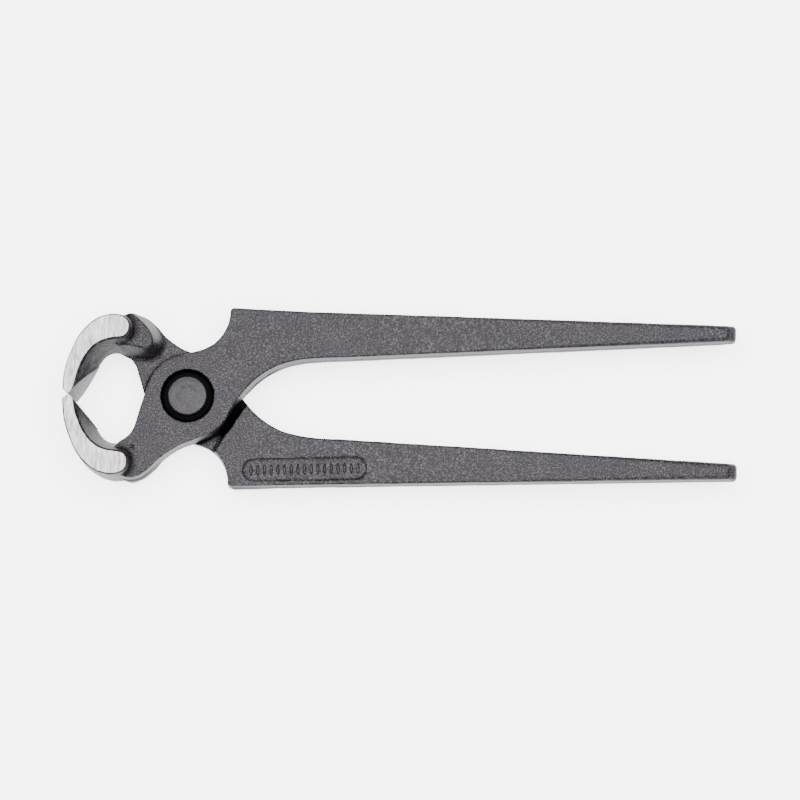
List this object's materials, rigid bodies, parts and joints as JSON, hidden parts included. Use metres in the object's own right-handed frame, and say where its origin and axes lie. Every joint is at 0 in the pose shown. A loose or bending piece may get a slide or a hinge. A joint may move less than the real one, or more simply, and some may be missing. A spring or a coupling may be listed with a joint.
{
  "type": "end-cutting pincers",
  "caption": "Hand-forged style end nipper: two lapped levers on one rivet, with curved jaws that meet in a straight cutting edge and long tapering handles.",
  "frame": {"origin": "bottom centre of the closed tool's box, in the plane of the jaws' ground side faces that it lies on", "axes": "+X along the tool, from the jaws towards the handle ends; +Y across the handles, towards the front lever's handle; +Z along the rivet, out of the front lever's face"},
  "size_m": [0.21, 0.0566, 0.024],
  "materials": {
    "forged_steel": "black oxide, satin, with bare ground side faces and cutting edges on the jaws",
    "rivet_steel": "black oxide, satin, orbitally formed heads"
  },
  "bodies": {
    "front_half": {"front_lever": "forged_steel", "rivet": "rivet_steel"},
    "rear_half": {"rear_lever": "forged_steel"}
  },
  "joints": [
    {"name": "rivet_pivot", "type": "hinge", "parent": "front_half", "child": "rear_half", "pos_m": [-0.0664, 0, 0.012], "axis": [0, 0, -1], "range_deg": [0, 40]}
  ]
}
